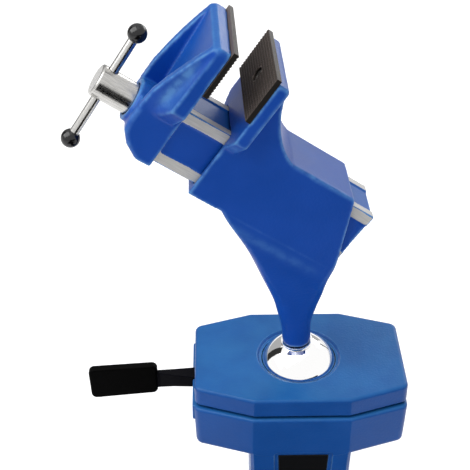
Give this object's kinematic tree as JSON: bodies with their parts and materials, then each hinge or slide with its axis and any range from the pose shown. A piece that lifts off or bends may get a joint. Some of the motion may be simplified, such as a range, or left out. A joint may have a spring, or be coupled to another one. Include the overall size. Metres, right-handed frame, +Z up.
{
  "type": "suction base vise",
  "caption": "Small bench vise on a lever-locked ball joint, with screw-driven serrated jaws, carried by a cast column on a suction foot.",
  "frame": {"origin": "centre of the suction foot on the bench surface, under the ball", "axes": "+Z up; +X from the lock lever's side to the other, -Y towards the operator's side with the badge"},
  "size_m": [0.1692, 0.1275, 0.3451],
  "materials": {
    "blue_enamel": "semi-gloss enamel on cast metal",
    "serrated_steel": "oiled, serrated",
    "chrome_steel": "polished",
    "zinc_steel": "bright zinc",
    "black_plastic": "glossy",
    "black_grip": "satin moulded",
    "black_steel": "satin black",
    "badge_black": "bare badge plate",
    "bronze": "turned",
    "black_rubber": "satin"
  },
  "bodies": {
    "base": {"base_housing": "blue_enamel", "base_foot": "blue_enamel", "column_screws": "zinc_steel", "label_plate": "badge_black", "ball_seat": "bronze", "lever_pivot_pin": "zinc_steel", "clamp_springs": "zinc_steel", "suction_cup": "black_rubber"},
    "clamp": {"clamp_plate": "blue_enamel", "clamp_bolts": "zinc_steel", "draw_links": "zinc_steel"},
    "lock_lever": {"lock_lever": "black_steel", "lock_lever_grip": "black_grip"},
    "ball": {"ball": "chrome_steel"},
    "stem": {"stem_stud": "chrome_steel"},
    "head": {"fixed_jaw_body": "blue_enamel", "fixed_jaw_plate": "serrated_steel", "fixed_plate_screw": "black_steel", "spindle_nut": "bronze", "nut_screw": "zinc_steel"},
    "moving_jaw": {"movable_jaw": "blue_enamel", "movable_jaw_plate": "serrated_steel", "movable_plate_screw": "black_steel", "spindle_thrust_washer": "zinc_steel"},
    "spindle": {"spindle": "chrome_steel", "spindle_retaining_ring": "black_steel"},
    "tommy_bar": {"tommy_bar": "chrome_steel", "tommy_bar_balls": "black_plastic"},
    "cup_stud": {"pull_stud": "zinc_steel", "cup_backing_plate": "zinc_steel"},
    "vacuum_lever": {"cam_shaft": "zinc_steel", "vacuum_lever": "black_steel", "vacuum_lever_grip": "black_grip", "vacuum_lever_screw": "zinc_steel"}
  },
  "joints": [
    {"name": "lock_lever_swing", "type": "hinge", "parent": "base", "child": "lock_lever", "pos_m": [-0.038, 0, 0.1375], "axis": [0, -1, 0], "range_deg": [0, 35.02]},
    {"name": "clamp_plate_lift", "type": "slide", "parent": "base", "child": "clamp", "axis": [0, 0, 1], "range_m": [0, 0.0006014]},
    {"name": "ball_swivel", "type": "hinge", "parent": "base", "child": "ball", "pos_m": [0, 0, 0.1477], "axis": [0, 0, 1], "continuous": true},
    {"name": "ball_tilt", "type": "hinge", "parent": "ball", "child": "stem", "pos_m": [0, 0, 0.1477], "axis": [-0.0297, 0.9996, 0], "range_deg": [-36, 36]},
    {"name": "head_spin", "type": "hinge", "parent": "stem", "child": "head", "pos_m": [0, 0, 0.1477], "axis": [-0.068, -0.002, 0.9977], "continuous": true},
    {"name": "jaw_slide", "type": "slide", "parent": "head", "child": "moving_jaw", "axis": [0.8257, 0.0245, -0.5635], "range_m": [-0.022, 0.0176]},
    {"name": "spindle_turn", "type": "hinge", "parent": "moving_jaw", "child": "spindle", "pos_m": [-0.07998, -0.00237, 0.3112], "axis": [0.8257, 0.0245, -0.5635], "range_deg": [-2640, 2112]},
    {"name": "tommy_bar_slide", "type": "slide", "parent": "spindle", "child": "tommy_bar", "axis": [0.5572, 0.1194, 0.8217], "range_m": [-0.0145, 0.0178]},
    {"name": "vacuum_lever_turn", "type": "hinge", "parent": "base", "child": "vacuum_lever", "pos_m": [0, 0, 0.038], "axis": [-1, 0, 0], "range_deg": [0, 100.05]},
    {"name": "cup_stud_lift", "type": "slide", "parent": "base", "child": "cup_stud", "axis": [0, 0, 1], "range_m": [-0.00383, 0], "deforming": ["suction_cup"]}
  ],
  "couplings": [
    {"joint": "lock_lever_swing", "follows": "clamp_plate_lift", "rad_per_m": 1015.7},
    {"joint": "spindle_turn", "follows": "jaw_slide", "rad_per_m": 2094.2},
    {"joint": "vacuum_lever_turn", "follows": "cup_stud_lift", "rad_per_m": -455.68}
  ]
}
